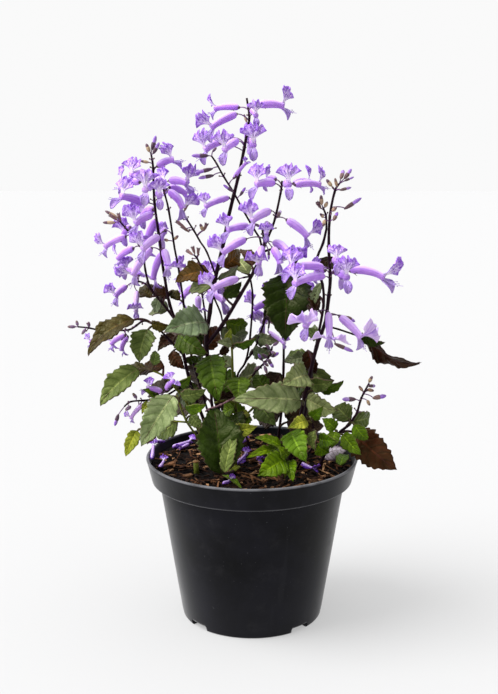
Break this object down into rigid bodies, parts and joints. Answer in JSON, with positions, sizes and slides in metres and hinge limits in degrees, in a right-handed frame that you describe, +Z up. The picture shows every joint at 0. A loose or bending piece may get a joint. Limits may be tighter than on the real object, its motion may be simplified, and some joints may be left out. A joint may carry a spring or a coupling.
{
  "type": "potted plectranthus",
  "caption": "Flowering potted plectranthus: lavender two-lipped flowers on thin upright stems with toothed leaves, in a round plastic nursery pot of bark soil.",
  "frame": {"origin": "middle of the pot's flat underside", "axes": "+Z up along the pot's axis, -Y towards the picture's viewer, +X to the viewer's right"},
  "size_m": [0.2748, 0.17, 0.4227],
  "materials": {
    "pot": "satin black plastic",
    "soil": "rough bark potting mix",
    "leaf": "satin leaf",
    "flower": "soft petal",
    "dry_leaf": "dry and rough"
  },
  "bodies": {
    "root": {"pot": "pot", "soil": "soil", "left_stem": "leaf", "left_thin_stem": "leaf", "left_low_branch": "leaf", "main_stem": "leaf", "middle_thin_stem": "leaf", "olive_stem": "leaf", "right_stem": "leaf", "right_back_stem": "leaf", "right_low_stem": "leaf", "front_stem": "leaf", "front_right_stem": "leaf", "front_left_stem": "leaf", "centre_stem": "leaf", "back_left_stem": "leaf", "back_right_stem": "leaf", "main_spray": "flower", "leaning_spray": "flower", "top_right_spray": "flower", "junction_spray": "flower", "inner_spray": "flower", "spent_spray": "flower", "small_bud_spray": "flower", "right_spray": "flower", "right_back_spray": "flower", "left_spray": "flower", "left_thin_spray": "flower", "left_outer_spray": "flower", "left_inner_spray": "flower", "left_low_spray": "flower", "hanging_spray": "flower", "low_right_spray": "flower", "young_spray": "flower", "centre_spray": "flower", "back_left_spray": "flower", "back_right_spray": "flower", "fallen_flower_1": "flower", "fallen_flower_2": "flower", "fallen_flower_3": "flower", "fallen_flower_4": "flower", "fallen_flower_5": "flower", "dry_leaf": "dry_leaf"}
  },
  "joints": []
}
